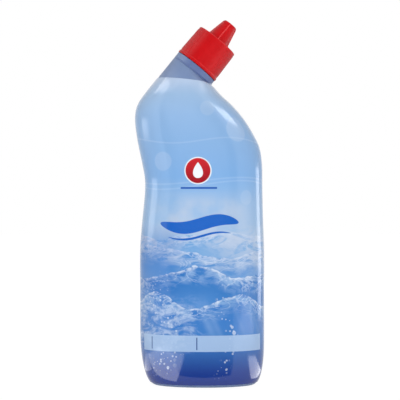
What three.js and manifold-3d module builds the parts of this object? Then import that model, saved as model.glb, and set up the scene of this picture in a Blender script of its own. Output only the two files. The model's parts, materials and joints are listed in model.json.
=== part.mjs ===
// Toilet cleaner bottle: a blow-moulded bottle with a leaning neck, the shrink sleeve around it,
// the gel inside, a pour nozzle pressed into the mouth, a sealing ring and a screw cap whose
// hollow cone covers the spout. Millimetres, +Z up, +X to the side that the neck leans to, +Y to the back.
import * as THREE from 'three';
import { mergeVertices } from 'three/addons/utils/BufferGeometryUtils.js';
import Module from 'manifold-3d';

const wasm = await Module();
wasm.setup();

// Body, without the sleeve: half sizes are measured from its centre line
const bodyHalfWidth = 45.2;
const bodyHalfDepth = 28.6;
const bodySquareness = 0.25; // added to 2, the exponent of an ellipse
const wall = 1;
const straightTop = 100; // where the straight sides end

// Heel: a quarter ellipse on each side, and the ring that the bottle stands on
const heelHeightLeft = 40;
const heelInsetLeft = 10.2;
const heelHeightRight = 28;
const heelInsetRight = 7.2;
const standRing = 7;
const baseRise = 3;
const baseSlope = 3;

// Waist and bulge on the side away from the spout, and the arched shoulder under the spout
const waistRise = 47; // above the straight sides
const waistInsetLeft = 3.9;
const waistInsetRight = 1.3;
const bulgeRise = 49; // above the waist
const bulgeOut = 3.9;
const shoulderInset = 4.8; // the corner between bulge and neck, from the bulge
const shoulderRise = 14;
const archRise = 12; // the start of the arched shoulder, above the waist
const archInset = 1.4;
const crookOut = 2.7; // the hollow corner between shoulder and neck, from the collar's lower edge
const crookDrop = 1.3;

// Neck: its axis passes through the middle of the cap's rim; heights along it start at that rim
const neckOffset = 4.1; // of that middle from the body's centre line, to the bulge's side
const neckRise = 23.4; // of that middle above the shoulder
const neckTilt = THREE.MathUtils.degToRad(39.1);
const collarRadius = 16.8;
const collarLength = 4.4;
const rimGap = 0.6; // between the cap's rim and the collar
const finishRadius = 12.55;
const finishHeight = 19;
const mouthRadius = 10.8;
const mouthEdge = 0.5;

// Screw thread, right-handed, one start
const threadPitch = 4.233;
const threadDepth = 1.15;
const threadRoot = 1.9;
const threadCrest = 0.9;
const threadTurns = 1.5;
const threadBelowMouth = 2.4;
const threadSink = 0.3;
const threadPlay = 0.35;
const threadRunOut = 0.1; // part of a turn over which a ridge fades
const threadEndShare = 0.3; // part of its height that a ridge keeps at its ends
const capThreadTurns = 1.25;

// Cap
const capRimRadius = 17.25;
const capSkirtRadius = 16.85;
const capTopRadius = 16.15;
const capHeight = 24.4;
const capRoof = 2;
const capBead = 2.2;
const capEdge = 0.5;
const boreClearance = 0.5;
const coneBaseRadius = 8.5;
const coneTipRadius = 5.15;
const coneHeight = 15.5;
const coneWall = 1.4;
const coneRibs = 4;
const ribWidth = 0.8;
const ribDepth = 0.45;
const ribFoot = 1;

// Nozzle and sealing ring
const flangeThickness = 1.7;
const flangeInset = 0.3; // from the outside of the mouth, so that the cap's thread passes
const plugLength = 9;
const plugWall = 1.2;
const plugTaper = 0.4;
const spoutWall = 1.2;
const spoutClearance = 0.5;
const spoutTipGap = 1;
const orificeRadius = 1.6;
const ringBore = 8.2;
const seatGap = 0.3; // between pieces that rest on each other

// Sleeve and gel
const sleeveThickness = 0.3;
const sleeveGap = 0.12;
const sleeveBottom = 2;
const sleeveTopDrop = 12.4; // on the body's centre line, below the middle of the cap's rim
const sleeveTopSlope = THREE.MathUtils.degToRad(6);
const fillRise = 8; // of the gel above the bulge

// Fineness
const around = 32;
const roundSteps = 48;
const heelRows = 7;
const sideRows = 24;
const stepsPerTurn = 24;
const beyond = 200; // how far a cutting block reaches past the body
const mergeDistance = 1e-5;

const heelTop = Math.max(heelHeightLeft, heelHeightRight);
const waistHeight = straightTop + waistRise;
const archHeight = waistHeight + archRise;
const bulgeHeight = waistHeight + bulgeRise;
const shoulderHeight = bulgeHeight + shoulderRise;
const neckHeight = shoulderHeight + neckRise;
const fillHeight = bulgeHeight + fillRise;
const mouthHeight = finishHeight - rimGap;
const neckMatrix = new THREE.Matrix4()
  .makeTranslation(-neckOffset, 0, neckHeight)
  .multiply(new THREE.Matrix4().makeRotationY(neckTilt));

// A point of the picture plane, from a distance across the neck's axis and a height along it
function onNeck(across, height) {
  const point = new THREE.Vector3(across, 0, height).applyMatrix4(neckMatrix);
  return [point.x, point.z];
}

const between = (a, b, share) => a + (b - a) * share;

// Side outlines, as [left point, right point, share] stations. The section at a station lies in the
// plane through both points and the depth direction. Stations fan from level to square with the
// neck. share runs from 1 on the body to 0 on the collar.
function stationsOfSides() {
  const footLeft = [-bodyHalfWidth, heelTop];
  const footRight = [bodyHalfWidth, heelTop];
  const straightLeft = [-bodyHalfWidth, straightTop];
  const straightRight = [bodyHalfWidth, straightTop];
  const waistLeft = [-(bodyHalfWidth - waistInsetLeft), waistHeight];
  const waistRight = [bodyHalfWidth - waistInsetRight, waistHeight];
  const bulge = [-(bodyHalfWidth + bulgeOut), bulgeHeight];
  const shoulder = [bulge[0] + shoulderInset, shoulderHeight];
  const collarLeft = onNeck(-collarRadius, -collarLength - rimGap);
  const collarRight = onNeck(collarRadius, -collarLength - rimGap);
  const archStart = [bodyHalfWidth - archInset, archHeight];
  const archEnd = [collarRight[0] + crookOut, collarRight[1] - crookDrop];
  const on = (from, to, x, z = x) => [between(from[0], to[0], x), between(from[1], to[1], z)];
  return [
    [footLeft, footRight, 1],
    [on(footLeft, straightLeft, 0.6), on(footRight, straightRight, 0.6), 1],
    [straightLeft, straightRight, 1],
    [on(straightLeft, waistLeft, 0.42, 0.45), on(straightRight, waistRight, 0.6, 0.45), 1],
    [waistLeft, waistRight, 1],
    [on(waistLeft, bulge, 0.24, 0.26), archStart, 1],
    [on(waistLeft, bulge, 0.56, 0.5), on(archStart, archEnd, 0.045, 0.23), 1],
    [on(waistLeft, bulge, 0.8, 0.7), on(archStart, archEnd, 0.155, 0.38), 0.985],
    [bulge, on(archStart, archEnd, 0.388, 0.61), 0.94],
    [on(bulge, shoulder, 0.42, 0.66), on(archStart, archEnd, 0.655, 0.793), 0.85],
    [on(shoulder, collarLeft, 0.12), on(archStart, archEnd, 0.84, 0.893), 0.73],
    [on(shoulder, collarLeft, 0.42), on(archStart, archEnd, 0.945, 0.962), 0.56],
    [on(shoulder, collarLeft, 0.74), archEnd, 0.32],
    [collarLeft, collarRight, 0],
  ];
}

// One ring of the body: a superellipse through the left and right points
function ring(left, right, share) {
  const halfDepth = between(collarRadius, bodyHalfDepth, share);
  const power = 2 / (2 + bodySquareness * share);
  const bend = (value) => Math.sign(value) * Math.abs(value) ** power;
  return Array.from({ length: around }, (_, i) => {
    const angle = (2 * Math.PI * i) / around;
    const side = bend(Math.cos(angle));
    const x = between(left[0], right[0], (1 + side) / 2);
    const z = between(left[1], right[1], (1 + side) / 2);
    return new THREE.Vector3(x, bend(Math.sin(angle)) * halfDepth, z);
  });
}

// How far the heel's quarter ellipse draws a side in at height z
function heelInset(z, height, inset) {
  const drop = Math.max(0, 1 - z / height);
  return inset * (1 - Math.sqrt(1 - drop * drop));
}

// All rings of the bottle's outer surface, from the standing ring to the collar's top
function bodyRings() {
  const rings = [];
  for (let i = 0; i < heelRows; i += 1) {
    const z = heelTop * (1 - Math.cos((Math.PI / 2) * (i / heelRows)));
    const left = -bodyHalfWidth + heelInset(z, heelHeightLeft, heelInsetLeft);
    const right = bodyHalfWidth - heelInset(z, heelHeightRight, heelInsetRight);
    const heelDepth = heelInset(z, heelTop, (heelInsetLeft + heelInsetRight) / 2);
    const share = (bodyHalfDepth - heelDepth - collarRadius) / (bodyHalfDepth - collarRadius);
    rings.push(ring([left, z], [right, z], share));
  }
  const stations = stationsOfSides();
  const curve = (pick) => new THREE.CatmullRomCurve3(stations.map(pick), false, 'centripetal');
  const leftCurve = curve(([left]) => new THREE.Vector3(left[0], left[1], 0));
  const rightCurve = curve(([, right]) => new THREE.Vector3(right[0], right[1], 0));
  const shareCurve = curve(([, , share], i) => new THREE.Vector3(share, i / stations.length, 0));
  for (let i = 0; i <= sideRows; i += 1) {
    const left = leftCurve.getPoint(i / sideRows);
    const right = rightCurve.getPoint(i / sideRows);
    rings.push(ring([left.x, left.y], [right.x, right.y], shareCurve.getPoint(i / sideRows).x));
  }
  rings.push(ring(onNeck(-collarRadius, -rimGap), onNeck(collarRadius, -rimGap), 0));
  return rings;
}

// The same rings, moved out along the surface's normal
function moved(rings, distance) {
  return rings.map((row, i) => row.map((point, j) => {
    const below = rings[Math.max(0, i - 1)][j];
    const above = rings[Math.min(rings.length - 1, i + 1)][j];
    const rise = above.clone().sub(below);
    const turn = row[(j + 1) % around].clone().sub(row[(j + around - 1) % around]);
    return point.clone().addScaledVector(turn.cross(rise).normalize(), distance);
  }));
}

// Closes a stack of rings into one surface, with a fan across each end
function skin(rings) {
  const count = rings[0].length;
  const middle = (row) => row.reduce((sum, p) => sum.add(p), new THREE.Vector3()).divideScalar(count);
  const points = [...rings.flat(), middle(rings[0]), middle(rings.at(-1))];
  const bottom = points.length - 2;
  const top = points.length - 1;
  const index = [];
  for (let j = 0; j < count; j += 1) {
    const next = (j + 1) % count;
    for (let i = 0; i < rings.length - 1; i += 1) {
      const here = i * count;
      const above = here + count;
      index.push(here + j, here + next, above + next, here + j, above + next, above + j);
    }
    const last = (rings.length - 1) * count;
    index.push(bottom, next, j, top, last + j, last + next);
  }
  const geometry = new THREE.BufferGeometry().setFromPoints(points);
  geometry.setIndex(index);
  return geometry;
}

// A closed geometry as a solid: shared vertices merged, empty triangles dropped, faces outward
function solid(geometry) {
  geometry.deleteAttribute('normal');
  geometry.deleteAttribute('uv');
  const merged = mergeVertices(geometry, mergeDistance);
  const position = merged.getAttribute('position');
  const corners = [0, 1, 2].map(() => new THREE.Vector3());
  const triangles = [];
  let volume = 0;
  for (let i = 0; i < merged.index.count; i += 3) {
    const face = [0, 1, 2].map((k) => merged.index.getX(i + k));
    if (new Set(face).size === 3) {
      face.forEach((vertex, k) => corners[k].fromBufferAttribute(position, vertex));
      volume += corners[0].dot(corners[1].clone().cross(corners[2]));
      triangles.push(face);
    }
  }
  if (volume < 0) triangles.forEach((face) => face.reverse());
  return new wasm.Manifold(new wasm.Mesh({
    numProp: 3,
    vertProperties: new Float32Array(position.array),
    triVerts: new Uint32Array(triangles.flat()),
  }));
}

// A round solid about +Z, from [radius, height] points that start and end on the axis
function turned(points, steps = roundSteps) {
  const profile = points.map(([radius, height]) => new THREE.Vector2(radius, height));
  return new THREE.LatheGeometry(profile, steps).rotateX(Math.PI / 2);
}

// A block across the whole depth, from its outline in the picture plane
function block(outline, depth = 2 * beyond) {
  const shape = new THREE.Shape(outline.map(([x, z]) => new THREE.Vector2(x, z)));
  const geometry = new THREE.ExtrudeGeometry(shape, { depth, bevelEnabled: false });
  return geometry.translate(0, 0, -depth / 2).rotateX(Math.PI / 2);
}

// All that lies between a level and a plane whose height is given at the far left and right
function slab(low, highLeft, highRight = highLeft) {
  return solid(block([[-beyond, low], [beyond, low], [beyond, highRight], [-beyond, highLeft]]));
}

// A helical ridge about +Z. Its section is a trapezium from radius root to radius crest, and
// its ends fade. start is the helix's place at turn 0, and the ridge runs from turn first to last.
function ridge(root, crest, start, first, last) {
  const steps = Math.ceil((last - first) * stepsPerTurn);
  const rings = Array.from({ length: steps + 1 }, (_, i) => {
    const turn = between(first, last, i / steps);
    const fade = Math.min(1, (turn - first) / threadRunOut, (last - turn) / threadRunOut);
    const reach = between(root, crest, Math.max(threadEndShare, fade));
    const height = start + threadPitch * turn;
    const section = [
      [root, height - threadRoot / 2],
      [reach, height - threadCrest / 2],
      [reach, height + threadCrest / 2],
      [root, height + threadRoot / 2],
    ];
    const angle = 2 * Math.PI * turn;
    return section.map(([r, z]) => new THREE.Vector3(r * Math.cos(angle), r * Math.sin(angle), z));
  });
  return skin(rings);
}

function mesh(name, shape, material) {
  const { vertProperties, triVerts } = shape.getMesh();
  const geometry = new THREE.BufferGeometry();
  geometry.setAttribute('position', new THREE.BufferAttribute(vertProperties, 3));
  geometry.setIndex(new THREE.BufferAttribute(triVerts, 1));
  geometry.computeVertexNormals();
  const result = new THREE.Mesh(geometry, material);
  result.name = name;
  return result;
}

const rings = bodyRings();
const threadStart = mouthHeight - threadBelowMouth - threadPitch * threadTurns;
const crestRadius = finishRadius + threadDepth;
const capBore = crestRadius + boreClearance;
const roofUnder = capHeight - capRoof;
const coneInnerTop = capHeight + coneHeight - coneWall;

// What fills the bottle's inside when it is drawn in by a distance from the outer surface, from
// the recessed base up to the collar's flat top
function inside(distance) {
  const top = -rimGap - distance;
  const low = -2 * beyond;
  const belowTop = block([[-beyond, low], [beyond, low], [beyond, top], [-beyond, top]]);
  return solid(skin(moved(rings, -distance)))
    .intersect(solid(belowTop.applyMatrix4(neckMatrix)))
    .intersect(slab(baseRise + distance, 2 * beyond));
}

function bottle() {
  const stand = rings[0];
  const centre = stand.reduce((sum, p) => sum.add(p), new THREE.Vector3()).divideScalar(around);
  const drawnIn = (distance, z) => stand.map((point) => {
    const outward = point.clone().sub(centre);
    const scale = 1 - distance / Math.max(outward.length(), distance);
    return outward.multiplyScalar(scale).add(centre).setZ(z);
  });
  const outer = solid(skin([drawnIn(standRing + baseSlope, baseRise), drawnIn(standRing, 0), ...rings]));
  const finish = solid(turned([
    [0, -collarLength],
    [finishRadius, -collarLength],
    [finishRadius, mouthHeight - mouthEdge],
    [finishRadius - mouthEdge, mouthHeight],
    [0, mouthHeight],
  ]).applyMatrix4(neckMatrix));
  const thread = solid(ridge(finishRadius - threadSink, crestRadius, threadStart, 0, threadTurns)
    .applyMatrix4(neckMatrix));
  const bore = solid(turned([
    [0, -2 * collarRadius],
    [mouthRadius, -2 * collarRadius],
    [mouthRadius, mouthHeight + wall],
    [0, mouthHeight + wall],
  ]).applyMatrix4(neckMatrix));
  return outer.add(finish).add(thread).subtract(inside(wall)).subtract(bore);
}

function sleeve() {
  const topAt = (x) => neckHeight - sleeveTopDrop - x * Math.tan(sleeveTopSlope);
  const outer = solid(skin(moved(rings, sleeveGap + sleeveThickness)));
  const within = solid(skin(moved(rings, sleeveGap)));
  return outer.subtract(within).intersect(slab(sleeveBottom, topAt(-beyond), topAt(beyond)));
}

function gel() {
  return inside(wall + seatGap).intersect(slab(0, fillHeight));
}

// Pour nozzle: a plug in the mouth, a flange on its rim and a tapered spout with a small hole
function nozzle() {
  const under = mouthHeight + seatGap;
  const over = under + flangeThickness;
  const plug = mouthRadius - seatGap;
  const flange = finishRadius - flangeInset;
  const tip = coneInnerTop - spoutTipGap;
  const coneInside = (height) => (
    between(coneBaseRadius, coneTipRadius, (height - capHeight) / coneHeight) - coneWall
  );
  const spoutFoot = Math.min(coneInside(roofUnder), ringBore) - spoutClearance;
  const spoutTip = coneInside(tip) - spoutClearance;
  return solid(turned([
    [0, under],
    [spoutFoot - spoutWall, under],
    [plug - plugWall, under],
    [plug - plugWall - plugTaper, under - plugLength],
    [plug - plugTaper, under - plugLength],
    [plug, under - plugLength + 2 * plugTaper],
    [plug, under],
    [flange, under],
    [flange, over],
    [spoutFoot, over],
    [spoutTip, tip],
    [0, tip],
  ])).subtract(solid(turned([
    [0, under - plugLength],
    [spoutFoot - spoutWall, under - plugLength],
    [spoutFoot - spoutWall, over],
    [orificeRadius, tip - 2 * spoutWall],
    [orificeRadius, tip + spoutTipGap],
    [0, tip + spoutTipGap],
  ])));
}

// Soft ring in the cap's roof, which closes on the nozzle's flange
function sealingRing() {
  const low = mouthHeight + flangeThickness + 2 * seatGap;
  const high = roofUnder - seatGap / 2;
  const radius = capBore - seatGap;
  const disc = (r, from, to) => solid(turned([[0, from], [r, from], [r, to], [0, to]]));
  return disc(radius, low, high).subtract(disc(ringBore, low - beyond, high + beyond));
}

// Cap: threaded skirt with a bead at its rim, a flat roof and a hollow cone with ribs
function cap() {
  const innerTip = coneTipRadius - coneWall;
  const innerFoot = between(coneBaseRadius, coneTipRadius, -capRoof / coneHeight) - coneWall;
  const shell = solid(turned([
    [0, capHeight + coneHeight],
    [coneTipRadius - capEdge, capHeight + coneHeight],
    [coneTipRadius, capHeight + coneHeight - capEdge],
    [coneBaseRadius, capHeight + capEdge],
    [coneBaseRadius + capEdge, capHeight],
    [capTopRadius - capEdge, capHeight],
    [capTopRadius, capHeight - capEdge],
    [capSkirtRadius, capBead + capEdge / 2],
    [capRimRadius, capBead - capEdge / 2],
    [capRimRadius, capEdge],
    [capRimRadius - capEdge, 0],
    [capBore + capEdge, 0],
    [capBore, capEdge],
    [capBore, roofUnder],
    [innerFoot, roofUnder],
    [innerTip, coneInnerTop],
    [0, coneInnerTop],
  ]));
  const thread = solid(ridge(capBore + threadSink, finishRadius + threadPlay,
    threadStart - (threadRoot + threadCrest) / 2 - threadPlay, threadRunOut, threadRunOut + capThreadTurns));
  const slope = Math.atan2(coneBaseRadius - coneTipRadius, coneHeight);
  const proud = ribDepth / Math.cos(slope);
  const rib = block([
    [coneBaseRadius - coneWall / 2, capHeight - capEdge],
    [coneBaseRadius + proud + ribFoot, capHeight - capEdge],
    [coneBaseRadius + proud + ribFoot, capHeight + capEdge / 2],
    [coneBaseRadius + proud / 2, capHeight + ribFoot + capEdge],
    [coneTipRadius + proud, capHeight + coneHeight - 2 * capEdge],
    [coneTipRadius - coneWall / 2, capHeight + coneHeight - capEdge],
  ], ribWidth);
  let whole = shell.add(thread);
  for (let i = 0; i < coneRibs; i += 1) {
    whole = whole.add(solid(rib.clone().rotateZ((2 * Math.PI * i) / coneRibs + Math.PI / 2)));
  }
  return whole;
}

const bottlePlastic = new THREE.MeshStandardMaterial({ color: 0x7890b8, roughness: 0.45, metalness: 0 });
const sleeveFilm = new THREE.MeshStandardMaterial({ color: 0x5f9bd8, roughness: 0.25, metalness: 0 });
const capPlastic = new THREE.MeshStandardMaterial({ color: 0xc8161c, roughness: 0.35, metalness: 0 });
const nozzlePlastic = new THREE.MeshStandardMaterial({ color: 0xe9ecec, roughness: 0.5, metalness: 0 });
const ringFoam = new THREE.MeshStandardMaterial({ color: 0xf2f2ee, roughness: 0.9, metalness: 0 });
const gelFluid = new THREE.MeshStandardMaterial({ color: 0x2f6fb8, roughness: 0.15, metalness: 0 });

const neck = new THREE.Group();
neck.position.set(-neckOffset, 0, neckHeight);
neck.rotation.y = neckTilt;
neck.add(mesh('nozzle', nozzle(), nozzlePlastic));
neck.add(mesh('sealing_ring', sealingRing(), ringFoam));
neck.add(mesh('cap', cap(), capPlastic));

const object = new THREE.Group();
object.add(mesh('bottle', bottle(), bottlePlastic));
object.add(mesh('shrink_sleeve', sleeve(), sleeveFilm));
object.add(mesh('cleaning_gel', gel(), gelFluid));
object.add(neck);

// The origin is at the middle of the footprint, on the surface that the bottle stands on
object.updateMatrixWorld(true);
const extent = new THREE.Box3().setFromObject(object, true);
object.position.set(-(extent.min.x + extent.max.x) / 2, -(extent.min.y + extent.max.y) / 2, -extent.min.z);

export default object;
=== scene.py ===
"""Looks of a toilet cleaner bottle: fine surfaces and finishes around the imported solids.

Metres, +Z up, +X to the side that the neck leans to. The photograph's camera looks along +Y.
"""
import json
import math

import bpy
import numpy as np
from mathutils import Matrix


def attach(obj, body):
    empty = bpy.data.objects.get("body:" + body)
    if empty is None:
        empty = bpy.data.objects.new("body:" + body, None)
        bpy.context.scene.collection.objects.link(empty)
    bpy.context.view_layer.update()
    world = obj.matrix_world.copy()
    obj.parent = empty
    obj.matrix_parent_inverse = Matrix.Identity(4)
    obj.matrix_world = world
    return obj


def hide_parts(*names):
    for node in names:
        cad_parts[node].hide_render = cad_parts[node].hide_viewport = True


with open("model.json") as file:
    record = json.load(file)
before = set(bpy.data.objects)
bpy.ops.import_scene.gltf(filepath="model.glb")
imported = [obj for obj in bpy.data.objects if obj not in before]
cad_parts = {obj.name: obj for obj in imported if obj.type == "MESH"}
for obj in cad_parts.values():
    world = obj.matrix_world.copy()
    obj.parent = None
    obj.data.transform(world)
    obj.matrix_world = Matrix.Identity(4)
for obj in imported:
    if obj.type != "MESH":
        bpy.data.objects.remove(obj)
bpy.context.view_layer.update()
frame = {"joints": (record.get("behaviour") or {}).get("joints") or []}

MM = 0.001

# Where the pieces lie, from the frame
JOINTS = {joint["name"]: joint for joint in frame["joints"]}
NECK_AXIS = np.array(JOINTS["cap_turn"]["axis"])
NECK_ACROSS = np.array([NECK_AXIS[2], 0, -NECK_AXIS[0]])
RIM_MIDDLE = np.array(JOINTS["cap_turn"]["pos_m"])
NECK_OFFSET = 4.1 * MM
BODY_X = RIM_MIDDLE[0] + NECK_OFFSET
NECK_HEIGHT = RIM_MIDDLE[2]

# Body of the bottle
BODY_HALF_WIDTH = 45.2 * MM
BODY_HALF_DEPTH = 28.6 * MM
SQUARENESS = 0.25
WALL = 1 * MM
STRAIGHT_TOP = 100 * MM
HEEL_LEFT = (40 * MM, 10.2 * MM)
HEEL_RIGHT = (28 * MM, 7.2 * MM)
STAND_RING = 7 * MM
BASE_RISE = 3 * MM
BASE_SLOPE = 3 * MM
WAIST_HEIGHT = 147 * MM
WAIST_INSET_LEFT = 3.9 * MM
WAIST_INSET_RIGHT = 1.3 * MM
BULGE_HEIGHT = 196 * MM
BULGE_OUT = 3.9 * MM
SHOULDER_INSET = 4.8 * MM
SHOULDER_RISE = 14 * MM
ARCH_HEIGHT = 159 * MM
ARCH_INSET = 1.4 * MM
CROOK_OUT = 2.7 * MM
CROOK_DROP = 1.3 * MM

# Neck and screw thread
COLLAR_RADIUS = 16.8 * MM
COLLAR_LENGTH = 4.4 * MM
RIM_GAP = 0.6 * MM
FINISH_RADIUS = 12.55 * MM
MOUTH_HEIGHT = 18.4 * MM
MOUTH_RADIUS = 10.8 * MM
FINISH_ROUNDING = 0.5 * MM
FINISH_STEP = 0.25 * MM
THREAD_PITCH = 4.233 * MM
THREAD_DEPTH = 1.15 * MM
THREAD_ROOT = 1.9 * MM
THREAD_CREST = 0.9 * MM
THREAD_TURNS = 1.5
THREAD_BELOW_MOUTH = 2.4 * MM
THREAD_PLAY = 0.35 * MM
THREAD_RUN_OUT = 0.1
CAP_THREAD_TURNS = 1.25
THREAD_START = MOUTH_HEIGHT - THREAD_BELOW_MOUTH - THREAD_PITCH * THREAD_TURNS

# Cap
CAP_RIM_RADIUS = 17.25 * MM
CAP_SKIRT_RADIUS = 16.85 * MM
CAP_TOP_RADIUS = 16.15 * MM
CAP_HEIGHT = 24.4 * MM
CAP_ROOF = 2 * MM
CAP_BEAD = 2.2 * MM
CAP_BORE = FINISH_RADIUS + THREAD_DEPTH + 0.5 * MM
CONE_BASE_RADIUS = 8.5 * MM
CONE_TIP_RADIUS = 5.15 * MM
CONE_HEIGHT = 15.5 * MM
CONE_WALL = 1.4 * MM
CONE_RIBS = 4
RIB_WIDTH = 0.8 * MM
RIB_DEPTH = 0.45 * MM
RIB_FOOT = 1 * MM
RIB_SLOPE = 0.3 * MM
RIB_FADE = 1.5 * MM
GRIP_RIBS = 15
GRIP_PITCH = math.radians(7)
GRIP_DEPTH = 0.16 * MM
GRIP_ABOVE_BEAD = 1.5 * MM
GRIP_BELOW_ROOF = 2.5 * MM

# Nozzle, sealing ring, sleeve and gel
FLANGE = 1.7 * MM
FLANGE_INSET = 0.3 * MM
PLUG_LENGTH = 9 * MM
PLUG_WALL = 1.2 * MM
PLUG_TAPER = 0.4 * MM
SPOUT_WALL = 1.2 * MM
SPOUT_CLEARANCE = 0.5 * MM
SPOUT_TIP_GAP = 1 * MM
ORIFICE_RADIUS = 1.6 * MM
RING_BORE = 8.2 * MM
SEAT_GAP = 0.3 * MM
SLEEVE_GAP = 0.12 * MM
SLEEVE_THICKNESS = 0.3 * MM
SLEEVE_BOTTOM = 2 * MM
SLEEVE_TOP_DROP = 12.4 * MM
SLEEVE_TOP_SLOPE = math.radians(6)
FILL_HEIGHT = 204 * MM
MENISCUS = 1.2 * MM

# Print on the sleeve, in millimetres: places across from the middle of the front, and heights above
# the surface that the bottle stands on. Colours are as they show on a screen
GRADIENT_HEIGHT = 225
# Plain colours under the picture: height, red, green and blue
GRADIENT = (
    (0, 16, 50, 136), (6, 24, 56, 141), (12, 38, 68, 147), (17, 43, 82, 157), (24, 52, 100, 172),
    (36, 66, 124, 193), (50, 76, 134, 204), (66, 92, 148, 212), (112, 150, 186, 224),
    (134, 146, 184, 225), (152, 127, 173, 224), (176, 134, 175, 221), (196, 143, 180, 222),
    (211, 156, 187, 222), (222, 178, 198, 226),
)
PRINT_EDGE = 0.15
HAZE_HEIGHT = 122
# Discs of light in the sky: place across, height, radius and strength
SKY_DISCS = ((27, 186, 9.5, 0.13), (-29, 163, 7.5, 0.12), (4, 201, 6, 0.1), (34, 137, 6, 0.1))
DISC_EDGE = 1.3
# Thin arcs in the sky: height, swing and length
SKY_ARCS = ((149, 2.4, 121.5), (146, 3.1, 121.5), (178, 2, 81))
# Waves, the far one first: crest height, swing, length, phase, deep water, light water and foam
WAVES = (
    (110, 2.2, 81, 0.15, (116, 166, 218), (190, 205, 228), 0.3),
    (98, 3.6, 121.5, 0.62, (84, 144, 209), (178, 199, 227), 0.5),
    (83, 5, 81, 0.3, (60, 124, 196), (150, 184, 225), 0.8),
    (63, 4.4, 60.75, 0.85, (66, 127, 200), (132, 171, 218), 0.65),
)
WAVE_WOBBLE = 15
# Streams of bubbles: place across, sway and half width
STREAMS = ((-27, 7, 13), (17, 5, 6))
STREAM_LENGTH = 64
# Bubbles: cells in a metre, lowest and highest place, share of empty cells and strength
BUBBLES = ((330, 5, 88, 0.42, 0.6), (170, 5, 70, 0.62, 0.65), (90, 18, 60, 0.78, 0.4))
# How far around, to either side, the picture starts to fade and has gone
PLAIN_BACK = (98, 112)
# The pale band's lower and upper edge
BAND = (26.8, 38.4)
BAND_HALF_LENGTH = 47
BAND_TICKS = (-38, -3.8)
TICK_HALF_HEIGHT = 4.6
# Ribbons: height, thickness, swing, length of the swing and half length
RIBBONS = ((118.2, 9.6, 2.9, 60, 29), (109.6, 1.8, 2.6, 56, 23))
RIBBON_MIDDLE = -2
# Middles of the rule and of the badge: place across and height
RULE = (-2.4, 143.8)
RULE_HALF_LENGTH = 13.3
RULE_HALF_HEIGHT = 0.85
BADGE = (-3, 156.2)
BADGE_RADIUS = 9.8
BADGE_RIM = 0.7
DROP_FOOT = 5.4
DROP_HEIGHT = 11.5
DROP_WIDTH = 9.4

# Camera: the photograph's level view from 920 mm, with focal length and sensor in millimetres
CAMERA = (0.33 * MM, -920 * MM, 135.2 * MM)
LENS = 112.5
SENSOR_WIDTH = 36

# Black flags of the studio: the corners of each sheet
FLAGS = {
    "flag_behind_camera": (
        (-1.3, -1.35, 0), (1.3, -1.35, 0), (1.3, -1.35, 1.5), (-1.3, -1.35, 1.5),
    ),
    "flag_on_floor": (
        (-0.02, -0.034, 0.0005), (0.03, -0.034, 0.0005), (0.9, -1.3, 0.0005), (-0.9, -1.3, 0.0005),
    ),
}
FRONT_MIDDLE = (0, 0, 0.13)
RIGHT_SHOULDER = (0.02, -0.02, 0.195)
LEFT_SHOULDER = (-0.024, -0.02, 0.218)
# Fills light colours alone: place, size, power and the point that they face
FILLS = {
    "front_fill": ((0, -1.1, 0.3), (1.2, 0.5), 9.4, FRONT_MIDDLE),
    "back_fill": ((0, 1.1, 0.3), (1.2, 0.5), 5.5, FRONT_MIDDLE),
}
# Boxes show in the gloss alone: place, size, power and the point that they face
BOXES = {
    "right_box": ((0.55, 0.2, 0.1), (0.2, 0.2), 0.45, (0, 0, 0.1)),
    "left_box": ((-0.62, -0.025, 0.16), (0.25, 0.1), 0.2, (0, 0, 0.16)),
    "right_high": ((0.55, -0.17, 0.631), (0.33, 0.135), 1, RIGHT_SHOULDER),
    "left_high": ((-0.427, -0.091, 0.657), (0.44, 0.105), 0.55, LEFT_SHOULDER),
}
# Cards lie on the floor and show in the gloss alone: place, size, power and turn in degrees
CARDS = {
    "left_card": ((-0.0755, -0.053, 0.001), (0.1, 0.08), 0.08, -11.5),
    "left_back_card": ((-0.09, 0.01, 0.001), (0.065, 0.042), 0.015, 0),
    "right_card": ((0.0875, -0.015, 0.001), (0.075, 0.045), 0.045, -31.7),
    "far_card": ((0.49, -0.255, 0.001), (0.42, 0.28), 0.9, -27),
}
WORLD_STRENGTH = 0.57
FLOOR_WHITE_SHARE = 0.9
FLOOR_WHITE = 1.06

# Points around a turned piece, and the angle from which an edge shows as sharp
ROUND = 192
SHARP_ANGLE = math.radians(40)


def between(low, high, share):
    return low + (high - low) * share


def on_neck(across, height):
    """A point of the neck's own picture plane, as [x, z], with x from the body's centre line."""
    point = RIM_MIDDLE + across * NECK_ACROSS + height * NECK_AXIS
    return [point[0] - BODY_X, point[2]]


def curve_through(points, steps):
    """A smooth curve through the points: on each span a cubic whose end slopes come from the
    neighbouring points, weighed by the square roots of their distances."""
    points = np.asarray(points, float)
    ends = 2 * points[[0, -1]] - points[[1, -2]]
    padded = np.vstack([ends[:1], points, ends[1:]])
    gaps = np.linalg.norm(np.diff(padded, axis=0), axis=1) ** 0.5
    before, here, after = (g[:, None, None] for g in (gaps[:-2], gaps[1:-1], gaps[2:]))
    a, b, c, d = (padded[k:len(padded) - 3 + k, None, :] for k in range(4))
    start = ((b - a) / before - (c - a) / (before + here) + (c - b) / here) * here
    stop = ((c - b) / here - (d - b) / (here + after) + (d - c) / after) * here
    t = np.linspace(0, 1, steps, endpoint=False)[None, :, None]
    bend = 2 * b - 2 * c + start + stop
    sweep = 3 * c - 3 * b - 2 * start - stop
    cubic = bend * t**3 + sweep * t**2 + start * t + b
    return np.vstack([cubic.reshape(-1, points.shape[1]), points[-1:]])


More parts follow.
